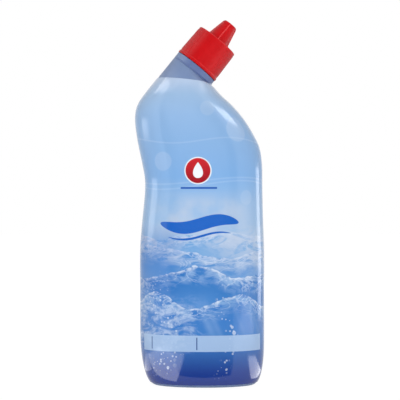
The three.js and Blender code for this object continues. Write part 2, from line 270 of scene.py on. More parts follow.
def softened(values, spread):
    """Average along the rows, weighed by a bell curve, with the end rows kept."""
    reach = int(4 * spread)
    weights = np.exp(-0.5 * (np.arange(-reach, reach + 1) / spread) ** 2)
    weights /= weights.sum()
    padded = np.pad(values, ((reach, reach), (0, 0)), mode="reflect", reflect_type="odd")
    return np.stack([np.convolve(column, weights, mode="valid") for column in padded.T], axis=1)


def heel_inset(z, heel):
    """How far a heel's quarter ellipse draws a side in at height z."""
    height, inset = heel
    drop = np.clip(1 - z / height, 0, 1)
    return inset * (1 - np.sqrt(1 - drop**2))


def body_rails(steps):
    """The side outlines as rows of left x, left z, right x, right z and share, from the standing
    ring to the collar. share is 1 on the body and 0 on the collar."""
    half = BODY_HALF_WIDTH
    top = max(HEEL_LEFT[0], HEEL_RIGHT[0])
    foot = -COLLAR_LENGTH - RIM_GAP
    foot_left, foot_right = [-half, top], [half, top]
    straight_left, straight_right = [-half, STRAIGHT_TOP], [half, STRAIGHT_TOP]
    waist_left = [-(half - WAIST_INSET_LEFT), WAIST_HEIGHT]
    waist_right = [half - WAIST_INSET_RIGHT, WAIST_HEIGHT]
    bulge = [-(half + BULGE_OUT), BULGE_HEIGHT]
    shoulder = [bulge[0] + SHOULDER_INSET, BULGE_HEIGHT + SHOULDER_RISE]
    arch_start = [half - ARCH_INSET, ARCH_HEIGHT]
    collar_left = on_neck(-COLLAR_RADIUS, foot)
    collar_right = on_neck(COLLAR_RADIUS, foot)
    arch_end = [collar_right[0] + CROOK_OUT, collar_right[1] - CROOK_DROP]

    def on(start, stop, x, z=None):
        return [between(start[0], stop[0], x), between(start[1], stop[1], x if z is None else z)]

    stations = [
        [*foot_left, *foot_right, 1],
        [*on(foot_left, straight_left, 0.6), *on(foot_right, straight_right, 0.6), 1],
        [*straight_left, *straight_right, 1],
        [*on(straight_left, waist_left, 0.42, 0.45), *on(straight_right, waist_right, 0.6, 0.45), 1],
        [*waist_left, *waist_right, 1],
        [*on(waist_left, bulge, 0.24, 0.26), *arch_start, 1],
        [*on(waist_left, bulge, 0.56, 0.5), *on(arch_start, arch_end, 0.045, 0.23), 1],
        [*on(waist_left, bulge, 0.8, 0.7), *on(arch_start, arch_end, 0.155, 0.38), 0.985],
        [*bulge, *on(arch_start, arch_end, 0.388, 0.61), 0.94],
        [*on(bulge, shoulder, 0.42, 0.66), *on(arch_start, arch_end, 0.655, 0.793), 0.85],
        [*on(shoulder, collar_left, 0.12), *on(arch_start, arch_end, 0.84, 0.893), 0.73],
        [*on(shoulder, collar_left, 0.42), *on(arch_start, arch_end, 0.945, 0.962), 0.56],
        [*on(shoulder, collar_left, 0.74), *arch_end, 0.32],
        [*collar_left, *collar_right, 0],
    ]
    stations = np.array(stations)
    order = np.arange(len(stations))[:, None] / len(stations)
    sides = [curve_through(stations[:, k:k + 2], steps) for k in (0, 2)]
    share = curve_through(np.hstack([stations[:, 4:], order]), steps)[:, :1]
    upper = np.hstack([*sides, share])
    z = top * (1 - np.cos(np.linspace(0, math.pi / 2, 3 * steps, endpoint=False)))
    depth = heel_inset(z, (top, (HEEL_LEFT[1] + HEEL_RIGHT[1]) / 2))
    lower = np.stack([
        -half + heel_inset(z, HEEL_LEFT), z,
        half - heel_inset(z, HEEL_RIGHT), z,
        1 - depth / (BODY_HALF_DEPTH - COLLAR_RADIUS),
    ], axis=1)
    collar = [
        [*on_neck(-COLLAR_RADIUS, along), *on_neck(COLLAR_RADIUS, along), 0]
        for along in np.linspace(foot, -RIM_GAP, 6)[1:]
    ]
    rails = np.vstack([softened(np.vstack([lower, upper]), steps / 4), collar])
    rails[:, [0, 2]] += BODY_X
    return rails


def body_rings(steps, around):
    """Rings of the bottle's outer surface. Each is a superellipse through its left and right rail
    points; its exponent goes from 2.25 on the body to 2 on the collar."""
    rails = body_rails(steps)[:, :, None]
    left_x, left_z, right_x, right_z, share = (rails[:, k] for k in range(5))
    power = 2 / (2 + SQUARENESS * share)
    angle = math.pi / 2 + np.linspace(0, 2 * math.pi, around, endpoint=False)[None]
    side = (1 + np.sign(np.cos(angle)) * np.abs(np.cos(angle)) ** power) / 2
    depth = between(COLLAR_RADIUS, BODY_HALF_DEPTH, share)
    y = np.sign(np.sin(angle)) * np.abs(np.sin(angle)) ** power * depth
    return np.stack([between(left_x, right_x, side), y, between(left_z, right_z, side)], axis=2)


def moved_out(rings, distance):
    """Rings moved along the surface normal: the way around crossed with the way up."""
    way_around = np.roll(rings, -1, axis=1) - np.roll(rings, 1, axis=1)
    normal = np.cross(way_around, np.gradient(rings, axis=0))
    return rings + distance * normal / np.linalg.norm(normal, axis=2, keepdims=True)


def cut_between(rings, low, high, rows):
    """The part of the rings whose height lies between low and high, as functions of the points.
    Every column is sampled again in equal steps from one cut to the other."""
    def crossing(level):
        over = rings[:, :, 2] - level(rings)
        index = np.argmax(over > 0, axis=0)
        column = np.arange(rings.shape[1])
        above, below = over[index, column], over[index - 1, column]
        return index - above / (above - below)

    start, stop = crossing(low), crossing(high)
    place = between(start[None], stop[None], np.linspace(0, 1, rows)[:, None])
    index = np.clip(place.astype(int), 0, len(rings) - 2)
    part = (place - index)[:, :, None]
    column = np.arange(rings.shape[1])[None]
    return rings[index, column] * (1 - part) + rings[index + 1, column] * part


def turned(points, around=ROUND, shift=None):
    """Rings about the neck's axis from [radius, height] points. shift(radius, height, angle) adds
    to the radius where a ridge or rib stands out."""
    points = np.asarray(points, float)
    angle = math.pi / 2 + np.linspace(0, 2 * math.pi, around, endpoint=False)[None]
    radius = points[:, :1] + (0 if shift is None else shift(points[:, :1], points[:, 1:], angle))
    height = points[:, 1:] + 0 * angle
    return (
        RIM_MIDDLE
        + (radius * np.cos(angle))[:, :, None] * NECK_ACROSS
        + (radius * np.sin(angle))[:, :, None] * np.array([0, 1, 0])
        + height[:, :, None] * NECK_AXIS
    )


def rounded(corners, radius, steps=5):
    """A profile whose inner corners are replaced by arcs of about the given radius: a quadratic
    curve from one leg to the other, at most a third of the way along each leg."""
    corners = np.asarray(corners, float)
    points = [corners[:1]]
    t = np.linspace(0, 1, steps)[:, None]
    for before, corner, after in zip(corners[:-2], corners[1:-1], corners[2:]):
        legs = [before - corner, after - corner]
        lengths = [np.linalg.norm(leg) for leg in legs]
        start, stop = (
            corner + leg / length * min(radius, length / 3) for leg, length in zip(legs, lengths)
        )
        points.append(start * (1 - t) ** 2 + corner * 2 * t * (1 - t) + stop * t**2)
    return np.vstack([*points, corners[-1:]])


def spaced(profile, step):
    """The profile with extra points, so that no leg is longer than the step."""
    legs = np.linalg.norm(np.diff(profile, axis=0), axis=1)
    pieces = [
        start + (stop - start) * np.linspace(0, 1, max(1, math.ceil(leg / step)), endpoint=False)[:, None]
        for start, stop, leg in zip(profile[:-1], profile[1:], legs)
    ]
    return np.vstack([*pieces, profile[-1:]])


def helix_ridge(height, angle, start, first, last, depth):
    """Height of a thread's ridge above its root surface: a trapezium across the helix, on each
    turn that passes this height, which fades at both ends of the thread."""
    turn = np.mod(angle, 2 * math.pi) / (2 * math.pi)
    total = 0 * height + 0 * angle
    for whole in range(int(math.floor(first)), int(math.ceil(last)) + 1):
        place = turn + whole
        across = np.abs(height - start - THREAD_PITCH * place)
        slope = (THREAD_ROOT - THREAD_CREST) / 2
        section = np.clip((THREAD_ROOT / 2 - across) / slope, 0, 1)
        fade = np.clip(np.minimum(place - first, last - place) / THREAD_RUN_OUT, 0, 1)
        total = np.maximum(total, depth * section * fade)
    return total


def surface(name, rings, loop=False, spread=None):
    """An object from rings of points. A loop joins its last ring to its first; other surfaces are
    closed by a fan at each end. spread gives each point's place on the flat print, with one column
    more than the rings, for the other side of the seam."""
    rows, around = rings.shape[:2]
    points = rings.reshape(-1, 3)
    row = np.arange(rows if loop else rows - 1)[:, None] * around
    up = (row + around) % (rows * around)
    column = np.arange(around)[None]
    following = (column + 1) % around
    quads = np.stack([row + column, row + following, up + following, up + column], axis=2).reshape(-1, 4)
    faces = quads.tolist()
    if not loop:
        points = np.vstack([points, rings[0].mean(0), rings[-1].mean(0)])
        bottom, top = len(points) - 2, len(points) - 1
        last = (rows - 1) * around
        here, following = column[0], following[0]
        faces += np.stack([np.full(around, bottom), following, here], axis=1).tolist()
        faces += np.stack([np.full(around, top), last + here, last + following], axis=1).tolist()
    mesh = bpy.data.meshes.new(name)
    mesh.from_pydata(points.tolist(), [], faces)
    if spread is not None:
        above = np.roll(spread, -1, axis=0)
        corners = np.stack([spread[:, :-1], spread[:, 1:], above[:, 1:], above[:, :-1]], axis=2)
        mesh.uv_layers.new(name="print").data.foreach_set("uv", corners.astype(np.float32).ravel())
    mesh.shade_smooth()
    mesh.set_sharp_from_angle(angle=SHARP_ANGLE)
    piece = bpy.data.objects.new(name, mesh)
    bpy.context.scene.collection.objects.link(piece)
    return piece


class Signal:
    """One output of a shader node. Arithmetic on it adds Math nodes."""

    def __init__(self, finish, socket):
        self.finish = finish
        self.socket = socket

    def output(self, index):
        """Another output of the same node."""
        return Signal(self.finish, self.socket.node.outputs[index])

    def math(self, operation, *others):
        sockets = dict(enumerate((self, *others)))
        return self.finish.node("ShaderNodeMath", {"operation": operation}, sockets)

    def __add__(self, other):
        return self.math("ADD", other)

    def __sub__(self, other):
        return self.math("SUBTRACT", other)

    def __rsub__(self, other):
        return self.finish.node("ShaderNodeMath", {"operation": "SUBTRACT"}, {0: other, 1: self})

    def __mul__(self, other):
        return self.math("MULTIPLY", other)

    def __truediv__(self, other):
        return self.math("DIVIDE", other)

    __radd__ = __add__
    __rmul__ = __mul__


class Finish:
    """A material whose nodes feed one Principled shader."""

    def __init__(self, name, **constants):
        self.material = bpy.data.materials.new(name)
        self.material.use_nodes = True
        self.tree = self.material.node_tree
        self.shader = self.tree.nodes["Principled BSDF"]
        for socket, value in constants.items():
            self.shader.inputs[socket.replace("_", " ")].default_value = value

    def node(self, kind, settings=None, sockets=None, out=0):
        made = self.tree.nodes.new(kind)
        for key, value in (settings or {}).items():
            if key == "stops":
                self.set_stops(made.color_ramp, value)
            else:
                setattr(made, key, value)
        for key, value in (sockets or {}).items():
            if isinstance(value, Signal):
                self.tree.links.new(value.socket, made.inputs[key])
            else:
                made.inputs[key].default_value = value
        return Signal(self, made.outputs[out])

    @staticmethod
    def set_stops(ramp, stops):
        while len(ramp.elements) < len(stops):
            ramp.elements.new(0.5)
        for element, (place, colour) in zip(ramp.elements, stops):
            element.position = place
            element.color = colour

    def feed(self, **signals):
        for socket, signal in signals.items():
            self.tree.links.new(signal.socket, self.shader.inputs[socket.replace("_", " ")])

    def step(self, value, low, high):
        """0 at low, 1 at high, and smooth between them. low may be the greater one."""
        if low > high:
            return 1 - self.step(value, high, low)
        settings = {"interpolation_type": "SMOOTHSTEP"}
        sockets = {"Value": value, "From Min": low, "From Max": high}
        return self.node("ShaderNodeMapRange", settings, sockets)

    def near(self, value, middle, far, full):
        """1 within full of the middle, and 0 from far on."""
        return self.step((value - middle).math("ABSOLUTE"), far, full)

    def mix(self, share, first, second):
        return self.node("ShaderNodeMix", {"data_type": "RGBA"}, {0: share, 6: first, 7: second}, out=2)

    def place(self):
        return self.node("ShaderNodeTexCoord", out=3)

    def along(self, place, way):
        """How far the place lies from the neck's rim along a way, as a dot product."""
        settings = {"operation": "DOT_PRODUCT"}
        dot = self.node("ShaderNodeVectorMath", settings, {0: place, 1: tuple(way)}, out=1)
        return dot - float(RIM_MIDDLE @ way)

    def noise(self, place, scale, detail=2, roughness=0.5, distortion=0):
        return self.node("ShaderNodeTexNoise", None, {
            "Vector": place,
            "Scale": scale,
            "Detail": detail,
            "Roughness": roughness,
            "Distortion": distortion,
        })

    def bump(self, height, distance, strength=1.0):
        sockets = {"Strength": strength, "Distance": distance, "Height": height}
        return self.node("ShaderNodeBump", None, sockets)


def colour(red, green, blue):
    """A colour given as it shows on a screen, 0 to 255, as linear light."""
    def linear(value):
        value /= 255
        return value / 12.92 if value <= 0.04045 else ((value + 0.055) / 1.055) ** 2.4

    return (linear(red), linear(green), linear(blue), 1)


class SleevePrint(Finish):
    """Glossy printed film: a pale sky above, rolling waves with foam below, and deep blue at the
    base. Each layer takes the paint under it and gives the paint with the layer on it. The flat
    map's places across and up are taken in millimetres."""

    def __init__(self):
        super().__init__("printed_film")
        self.flat = self.node("ShaderNodeUVMap", {"uv_map": "print"})
        split = self.node("ShaderNodeSeparateXYZ", None, {0: self.flat})
        self.across = split / MM
        self.up = split.output(1) / MM
        stretched = self.node("ShaderNodeMapping", None, {0: self.flat, "Scale": (1, 2.3, 1)})
        self.fine = self.noise(self.flat, 230, 4, 0.6)
        self.swirl = self.noise(stretched, 46, 5, 0.62, 1.9)
        self.threads = self.near(self.noise(stretched, 30, 4, 0.55, 2.6), 0.5, 0.035, 0)

    def window(self, value, rise, fall):
        """0 outside, and 1 between the end of the rise and the end of the fall."""
        return self.step(value, *rise) * self.step(value, *fall)

    def sine(self, place, length, swing, phase=0):
        """A sine of this length and swing along a place, from a phase in turns."""
        turns = place * (2 * math.pi / length) + 2 * math.pi * phase
        return turns.math("SINE") * swing

    def distance(self, middle):
        """Distance on the flat print from a middle: root of the sum of squares."""
        across, up = self.across - middle[0], self.up - middle[1]
        return (across * across + up * up).math("SQRT")

    def gradient(self):
        stops = [(z / GRADIENT_HEIGHT, colour(*shown)) for z, *shown in GRADIENT]
        return self.node("ShaderNodeValToRGB", {"stops": stops}, {0: self.up / GRADIENT_HEIGHT})

    def sky(self, paint):
        """Soft discs of light, a pale haze above the sea, and thin arcs along sines."""
        for u, z, radius, strength in SKY_DISCS:
            disc = self.step(self.distance((u, z)), radius, radius - DISC_EDGE)
            paint = self.mix(disc * strength, paint, colour(226, 234, 244))
        haze = self.near(self.up, HAZE_HEIGHT, 22, 5) * self.near(self.across, 0, 52, 14)
        haze = haze * self.step(self.noise(self.flat, 34, 3), 0.3, 0.6)
        paint = self.mix(haze * 0.85, paint, colour(186, 201, 223))
        for z, swing, length in SKY_ARCS:
            arc = self.near(self.up, self.sine(self.across, length, swing) + z, 0.9, 0.2)
            paint = self.mix(arc * 0.22, paint, colour(186, 212, 240))
        return paint

    def sea(self, paint):
        """Waves along sines that a noise bends. Below its crest each has light swirls, then bright
        threads, and then fades into the water under it. Foam lies on the crest."""
        wobble = (self.noise(self.flat, 38, 3) - 0.5) * WAVE_WOBBLE
        for crest, swing, length, phase, deep, light, foam in WAVES:
            below = self.sine(self.across, length, swing, phase) + crest + wobble - self.up
            shine = self.step(self.swirl, 0.37, 0.63) * self.step(below, 16, 1)
            water = self.mix(shine, colour(*deep), colour(*light))
            threads = self.threads * self.step(below, 15, 3)
            water = self.mix(threads * 0.55, water, colour(204, 219, 240))
            paint = self.mix(self.window(below, (-0.2, 0.4), (34, 12)), paint, water)
            froth = self.window(below, (-0.3, 0.3), (2.6, 0.2)) * self.step(self.fine, 0.4, 0.6)
            paint = self.mix(froth * foam, paint, colour(222, 232, 246))
        return paint

    def depths_and_mist(self, paint):
        """Deeper water on one side, and mist over the sea on the other."""
        depths = self.step(self.across, -6, -30) * self.window(self.up, (62, 76), (122, 104))
        paint = self.mix(depths * 0.34, paint, colour(38, 104, 188))
        mist = self.step(self.across, -8, 24) * self.window(self.up, (74, 94), (124, 108))
        mist = mist * self.step(self.swirl, 0.25, 0.6)
        return self.mix(mist * 0.6, paint, colour(184, 201, 225))

    def rays_and_spray(self, paint):
        """Slanting light under the surface, and spray on one side."""
        slant = (self.across + self.up * 0.45) * MM
        streaks = self.noise(self.node("ShaderNodeCombineXYZ", None, {0: slant}), 58)
        rays = self.step(streaks, 0.48, 0.72) * self.window(self.up, (26, 46), (66, 52))
        paint = self.mix(rays * 0.36, paint, colour(158, 192, 230))
        spray = self.step(self.across, 8, -16) * self.window(self.up, (22, 38), (70, 54))
        spray = spray * self.step(self.swirl, 0.42, 0.62) * self.step(self.fine, 0.25, 0.6)
        return self.mix(spray * 0.7, paint, colour(196, 213, 238))

    def bubbles(self, paint):
        """Bubbles in winding streams: a spot in some cells of an uneven pattern, with a size and a
        chance that differ from cell to cell, at three scales."""
        streams = 0
        for u, sway, wide in STREAMS:
            middle = self.sine(self.up, STREAM_LENGTH, sway, u / (2 * math.pi)) + u
            streams = self.near(self.across, middle, wide, wide / 3) + streams
        streams = streams.math("MINIMUM", 1)
        for scale, low, high, chance, strength in BUBBLES:
            spot = self.node(
                "ShaderNodeTexVoronoi",
                {"feature": "F1", "voronoi_dimensions": "2D"},
                {"Vector": self.flat, "Scale": scale, "Randomness": 1},
            )
            cell = self.node("ShaderNodeSeparateColor", None, {0: spot.output(1)})
            ratio = spot / (cell.output(1) * 0.28 + 0.08)
            disc = self.step(ratio, 1, 0.5) * (self.step(ratio, 0.1, 0.8) * 0.3 + 0.7)
            zone = self.window(self.up, (low, low + 8), (high, high - 26))
            zone = zone * streams * self.step(cell, chance, chance + 0.08)
            paint = self.mix(disc * zone * strength, paint, colour(226, 235, 248))
        return paint

    def band(self, paint):
        """A plain pale band with two thin ticks."""
        low, high = BAND
        inside = self.window(
            self.up, (low - PRINT_EDGE, low + PRINT_EDGE), (high + PRINT_EDGE, high - PRINT_EDGE)
        )
        end = BAND_HALF_LENGTH
        inside = inside * self.near(self.across, 0, end + PRINT_EDGE, end - PRINT_EDGE)
        paint = self.mix(inside * 0.85, paint, colour(172, 199, 232))
        for tick in BAND_TICKS:
            line = self.near(self.across, tick, 0.5, 0.2)
            line = line * self.near(self.up, (low + high) / 2, TICK_HALF_HEIGHT, TICK_HALF_HEIGHT - 0.3)
            paint = self.mix(line, paint, colour(40, 74, 140))
        return paint

    def ribbons(self, paint):
        """Wavy ribbons along sines, whose half thickness follows half an ellipse."""
        for z, thick, swing, length, half in RIBBONS:
            middle = self.sine(self.across, length, swing) + z
            taper = 1 - ((self.across - RIBBON_MIDDLE) / half).math("POWER", 2)
            reach = taper.math("MAXIMUM", 0).math("SQRT") * (thick / 2)
            inside = self.step(reach - (self.up - middle).math("ABSOLUTE"), -0.05, 0.2)
            paint = self.mix(inside * self.step(taper, 0, 0.01), paint, colour(34, 100, 194))
        return paint

    def rule(self, paint):
        """A thin straight line under the badge."""
        line = self.near(self.up, RULE[1], RULE_HALF_HEIGHT, RULE_HALF_HEIGHT - 0.35)
        line = line * self.near(self.across, RULE[0], RULE_HALF_LENGTH, RULE_HALF_LENGTH - 0.4)
        return self.mix(line, paint, colour(38, 92, 180))

    def badge(self, paint):
        """A round red badge with a pale rim and a drop. At a share t of its height the drop's half
        width is its width times root t times 1 - t."""
        radius = self.distance(BADGE)
        off, rise = self.across - BADGE[0], self.up - BADGE[1]
        disc = self.step(radius, BADGE_RADIUS + PRINT_EDGE, BADGE_RADIUS - PRINT_EDGE)
        paint = self.mix(disc, paint, colour(228, 234, 242))
        shade = self.step(rise, -BADGE_RADIUS, BADGE_RADIUS)
        red = self.mix(shade, colour(158, 22, 34), colour(200, 34, 42))
        field = self.step(radius, BADGE_RADIUS - BADGE_RIM, BADGE_RADIUS - BADGE_RIM - 2 * PRINT_EDGE)
        paint = self.mix(field, paint, red)
        share = (rise + DROP_FOOT) / DROP_HEIGHT
        within = share.math("MAXIMUM", 0).math("MINIMUM", 1)
        half = within.math("SQRT") * (1 - within) * DROP_WIDTH
        drop = self.step(half - off.math("ABSOLUTE"), -0.1, 0.2)
        drop = drop * self.window(share, (0, 0.02), (1, 0.98))
        return self.mix(drop, paint, colour(236, 240, 246))

    def finished(self):
        """The layers in order. At the back the picture fades to the plain gradient, so that it has
        no edge where the film is joined."""
        plain = self.gradient()
        paint = self.sky(plain)
        for layer in (self.sea, self.depths_and_mist, self.rays_and_spray, self.bubbles):
            paint = layer(paint)
        paint = self.mix(self.step(self.across.math("ABSOLUTE"), *PLAIN_BACK), paint, plain)
        for layer in (self.band, self.ribbons, self.rule, self.badge):
            paint = layer(paint)
        place = self.place()
        self.feed(
            Base_Color=paint,
            Roughness=0.11 + self.noise(place, 30) * 0.05,
            Normal=self.bump(self.noise(place, 32, 3), 0.12 * MM),
        )
        return self.material


def satin_bottle():
    """Blue-grey blown polyethylene: satin, with the faint cloudiness and fine grain of a blown skin.
    The collar is painted darker on one side as painted shade, and its foot has a darker line of painted
    shade over a shallow groove in the bump."""
    skin = Finish("bottle_plastic", Specular_IOR_Level=0.45)
    place = skin.place()
    along = skin.along(place, NECK_AXIS)
    across = skin.along(place, NECK_ACROSS)
    foot = -COLLAR_LENGTH - RIM_GAP
    # Painted shade: the collar band darker on one side, and a darker line at its foot where the bump also
    # dips as a groove
    collar = skin.step(along, foot - 0.6 * MM, foot + 0.4 * MM) * skin.step(across, -16 * MM, -2 * MM)
    line = skin.near(along, foot, 0.9 * MM, 0.1 * MM)
    cloud = skin.noise(place, 60, 3)
    paint = skin.mix(cloud, colour(108, 130, 172), colour(124, 146, 184))
    # The painted shade of the collar and of its foot line is mixed into the colour here
    paint = skin.mix(collar * 0.8, paint, colour(92, 108, 156))
    paint = skin.mix(line * 0.6, paint, colour(84, 104, 156))
    skin.feed(
        Base_Color=paint,
        Roughness=0.4 + skin.noise(place, 900, 2) * 0.12,
        Normal=skin.bump(skin.noise(place, 1500, 3) * 0.1 - line, 0.3 * MM),
    )
    return skin.material


def red_cap():
    """Moulded red polypropylene: half gloss, with slight flow marks and a fine tool grain. The
    crests of the cone's ribs and the edges of roof and bead are painted paler, as painted highlights."""
    skin = Finish("cap_plastic", Specular_IOR_Level=0.16)
    place = skin.place()
    along = skin.along(place, NECK_AXIS)
    across = skin.along(place, NECK_ACROSS)
    depth = skin.node("ShaderNodeSeparateXYZ", None, {0: place}).output(1)
    tip = CAP_HEIGHT + CONE_HEIGHT
    off = across.math("ABSOLUTE").math("MINIMUM", depth.math("ABSOLUTE"))
    # Painted highlights: masks for a paler red on the crests of the cone's ribs, the roof's edge and the
    # bead's edge
    crest = skin.step(off, RIB_WIDTH * 0.8, RIB_WIDTH * 0.35)
    crest = crest * skin.step(along, CAP_HEIGHT + 0.4 * MM, CAP_HEIGHT + 1 * MM)
    crest = crest * skin.step(along, tip - 0.5 * MM, tip - 1.5 * MM)
    edge = skin.near(along, CAP_HEIGHT - 0.3 * MM, 0.55 * MM, 0.1 * MM)
    bead = skin.near(along, CAP_BEAD, 0.45 * MM, 0.1 * MM)
    flow = skin.noise(place, 70, 3)
    paint = skin.mix(flow, colour(188, 12, 18), colour(202, 20, 26))
    # The painted highlights are mixed into the red here
    paint = skin.mix(crest * 0.8 + edge * 0.4 + bead * 0.3, paint, colour(232, 70, 72))
    skin.feed(
        Base_Color=paint,
        Roughness=0.34 + skin.noise(place, 600, 3) * 0.1,
        Normal=skin.bump(skin.noise(place, 1100, 2), 0.02 * MM),
    )
    return skin.material


def plain_plastic(name, light, dark, rough, grain, depth):
    """A plain plastic, foam or gel: two near colours in soft clouds, with a fine grain."""
    skin = Finish(name)
    place = skin.place()
    skin.feed(
        Base_Color=skin.mix(skin.noise(place, 90, 3), colour(*dark), colour(*light)),
        Roughness=rough + skin.noise(place, 400, 2) * 0.1,
        Normal=skin.bump(skin.noise(place, grain, 3), depth),
    )
    return skin.material


def add_piece(piece, finish, body, slot, *nodes):
    piece.data.materials.append(finish)
    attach(piece, body)
    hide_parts(*nodes)


def make_sleeve():
    """The film from just above the base to its slightly sloping upper edge: an outer and an inner
    skin over the body's rings, joined at both edges. Its print is measured along each ring, from
    the middle of the front."""
    rings = body_rings(24, 256)

    def low(points):
        return SLEEVE_BOTTOM + 0 * points[:, :, 2]

    def high(points):
        return NECK_HEIGHT - SLEEVE_TOP_DROP - (points[:, :, 0] - BODY_X) * math.tan(SLEEVE_TOP_SLOPE)

    outer = cut_between(moved_out(rings, SLEEVE_GAP + SLEEVE_THICKNESS), low, high, 240)
    inner = cut_between(moved_out(rings, SLEEVE_GAP), low, high, 60)
    rows = np.vstack([outer, inner[::-1]])
    closed = np.concatenate([rows, rows[:, :1]], axis=1)
    gone = np.cumsum(np.linalg.norm(np.diff(closed, axis=1), axis=2), axis=1)
    gone = np.pad(gone, ((0, 0), (1, 0)))
    front = rows.shape[1] // 2
    across = gone - gone[:, front:front + 1] + rows[:, front:front + 1, 0] - BODY_X
    spread = np.stack([across, closed[:, :, 2]], axis=2)
    sleeve = surface("printed_sleeve", rows, loop=True, spread=spread)
    add_piece(sleeve, SleevePrint().finished(), "bottle", "sleeve_film", "shrink_sleeve")


def make_bottle():
    """One blown skin: recessed base, body, collar, threaded finish, mouth, bore and cavity."""
    around = 160
    rings = body_rings(12, around)
    stand = rings[0]
    centre = stand.mean(0)
    outward = stand - centre
    far = np.linalg.norm(outward, axis=1, keepdims=True)

    def drawn_in(distance, z):
        ring = centre + outward * (1 - distance / far)
        ring[:, 2] = z
        return ring

    rise = np.linspace(1, 0, 10)[:, None]
    ease = rise * rise * (3 - 2 * rise)
    recess = np.stack([
        drawn_in(STAND_RING + BASE_SLOPE * slope, BASE_RISE * height)
        for slope, height in zip(rise[:, 0], ease[:, 0])
    ])
    cavity_top = -RIM_GAP - WALL
    collar_top = -SEAT_GAP
    finish = spaced(rounded([
        [COLLAR_RADIUS, -RIM_GAP + 0.1 * MM],
        [COLLAR_RADIUS, collar_top],
        [FINISH_RADIUS, collar_top],
        [FINISH_RADIUS, MOUTH_HEIGHT],
        [MOUTH_RADIUS, MOUTH_HEIGHT],
        [MOUTH_RADIUS, cavity_top],
        [COLLAR_RADIUS - 2 * WALL, cavity_top],
    ], FINISH_ROUNDING), FINISH_STEP)

    def thread(radius, height, angle):
        ridge = helix_ridge(height, angle, THREAD_START, 0, THREAD_TURNS, THREAD_DEPTH)
        return ridge * (radius > (FINISH_RADIUS + MOUTH_RADIUS) / 2) * (height > 0)

    cavity = moved_out(rings, -WALL)
    along = (cavity - RIM_MIDDLE) @ NECK_AXIS
    cavity = cavity[(cavity[:, :, 2].min(1) > BASE_RISE + WALL) & (along.max(1) < cavity_top - WALL / 2)]
    floor = cavity[0].copy()
    floor[:, 2] = BASE_RISE + WALL
    rows = np.vstack([recess, rings, turned(finish, around, thread), cavity[::-3], floor[None]])
    bottle = surface("blown_bottle", rows)
    add_piece(bottle, satin_bottle(), "bottle", "bottle_plastic", "bottle")


def cone_inside(height):
    """Radius of the hollow in the cap's cone at a height."""
    return between(CONE_BASE_RADIUS, CONE_TIP_RADIUS, (height - CAP_HEIGHT) / CONE_HEIGHT) - CONE_WALL


def make_cap():
    """One moulding: hollow cone with ribs, flat roof, skirt with fine grip ribs and a bead."""
    tip = CAP_HEIGHT + CONE_HEIGHT
    roof_under = CAP_HEIGHT - CAP_ROOF
    outside = rounded([
        [0.3 * MM, tip],
        [CONE_TIP_RADIUS, tip],
        [CONE_BASE_RADIUS, CAP_HEIGHT],
        [CAP_TOP_RADIUS, CAP_HEIGHT],
        [between(CAP_SKIRT_RADIUS, CAP_TOP_RADIUS, 0.02), CAP_BEAD],
        [CAP_RIM_RADIUS, CAP_BEAD - 0.4 * MM],
        [CAP_RIM_RADIUS, 0],
        [CAP_BORE, 0],
    ], 0.6 * MM, 6)
    inside = rounded([
        [CAP_BORE, 0],
        [CAP_BORE, roof_under],
        [cone_inside(roof_under), roof_under],
        [CONE_TIP_RADIUS - CONE_WALL, tip - CONE_WALL],
        [0.3 * MM, tip - CONE_WALL],
    ], 0.4 * MM, 4)
    profile = spaced(np.vstack([outside, inside[1:]]), 0.5 * MM)
    skirt_wall = (CAP_BORE + CAP_TOP_RADIUS) / 2

    def cone_ribs(radius, height, angle):
        """Ribs on the cone's outer skin, which widen at their foot and fade at the tip."""
        wall_middle = cone_inside(height) + CONE_WALL / 2
        on_cone = (height > CAP_HEIGHT + RIB_SLOPE) & (radius > wall_middle)
        quarter = 2 * math.pi / CONE_RIBS
        off = np.abs(np.mod(angle + quarter / 2, quarter) - quarter / 2) * radius
        foot = np.clip(1 - (height - CAP_HEIGHT) / (2 * RIB_FOOT), 0, 1) * RIB_FOOT
        section = np.clip(((RIB_WIDTH + RIB_SLOPE) / 2 - off) / RIB_SLOPE, 0, 1)
        fade = np.clip((tip - height) / RIB_FADE, 0, 1)
        return on_cone * section * (RIB_DEPTH + foot) * fade

    def grip_ribs(radius, height, angle):
        """A cosine around the skirt's two sides, between the bead and the roof."""
        on_skirt = (height > CAP_BEAD + GRIP_ABOVE_BEAD) & (height < CAP_HEIGHT - GRIP_BELOW_ROOF)
        side = np.abs(np.mod(angle + math.pi / 2, math.pi) - math.pi / 2)
        wave = 0.5 + 0.5 * np.cos(2 * math.pi * side / GRIP_PITCH)
        return on_skirt * (radius > skirt_wall) * wave * GRIP_DEPTH * (side < GRIP_PITCH * GRIP_RIBS / 2)

    def thread(radius, height, angle):
        """The thread in the bore, which lies under the neck's thread with the thread play."""
        start = THREAD_START - (THREAD_ROOT + THREAD_CREST) / 2 - THREAD_PLAY
        depth = CAP_BORE - FINISH_RADIUS - THREAD_PLAY
        first, last = THREAD_RUN_OUT, THREAD_RUN_OUT + CAP_THREAD_TURNS
        in_bore = (np.abs(radius - CAP_BORE) < 0.2 * MM) & (height < roof_under - 0.5 * MM)
        return in_bore * helix_ridge(height, angle, start, first, last, depth)

    def standing_out(*place):
        return cone_ribs(*place) + grip_ribs(*place) - thread(*place)

    rows = turned(profile, 384, standing_out)[::-1]
    cap = surface("screw_cap", rows)
    add_piece(cap, red_cap(), "cap", "cap_plastic", "cap")


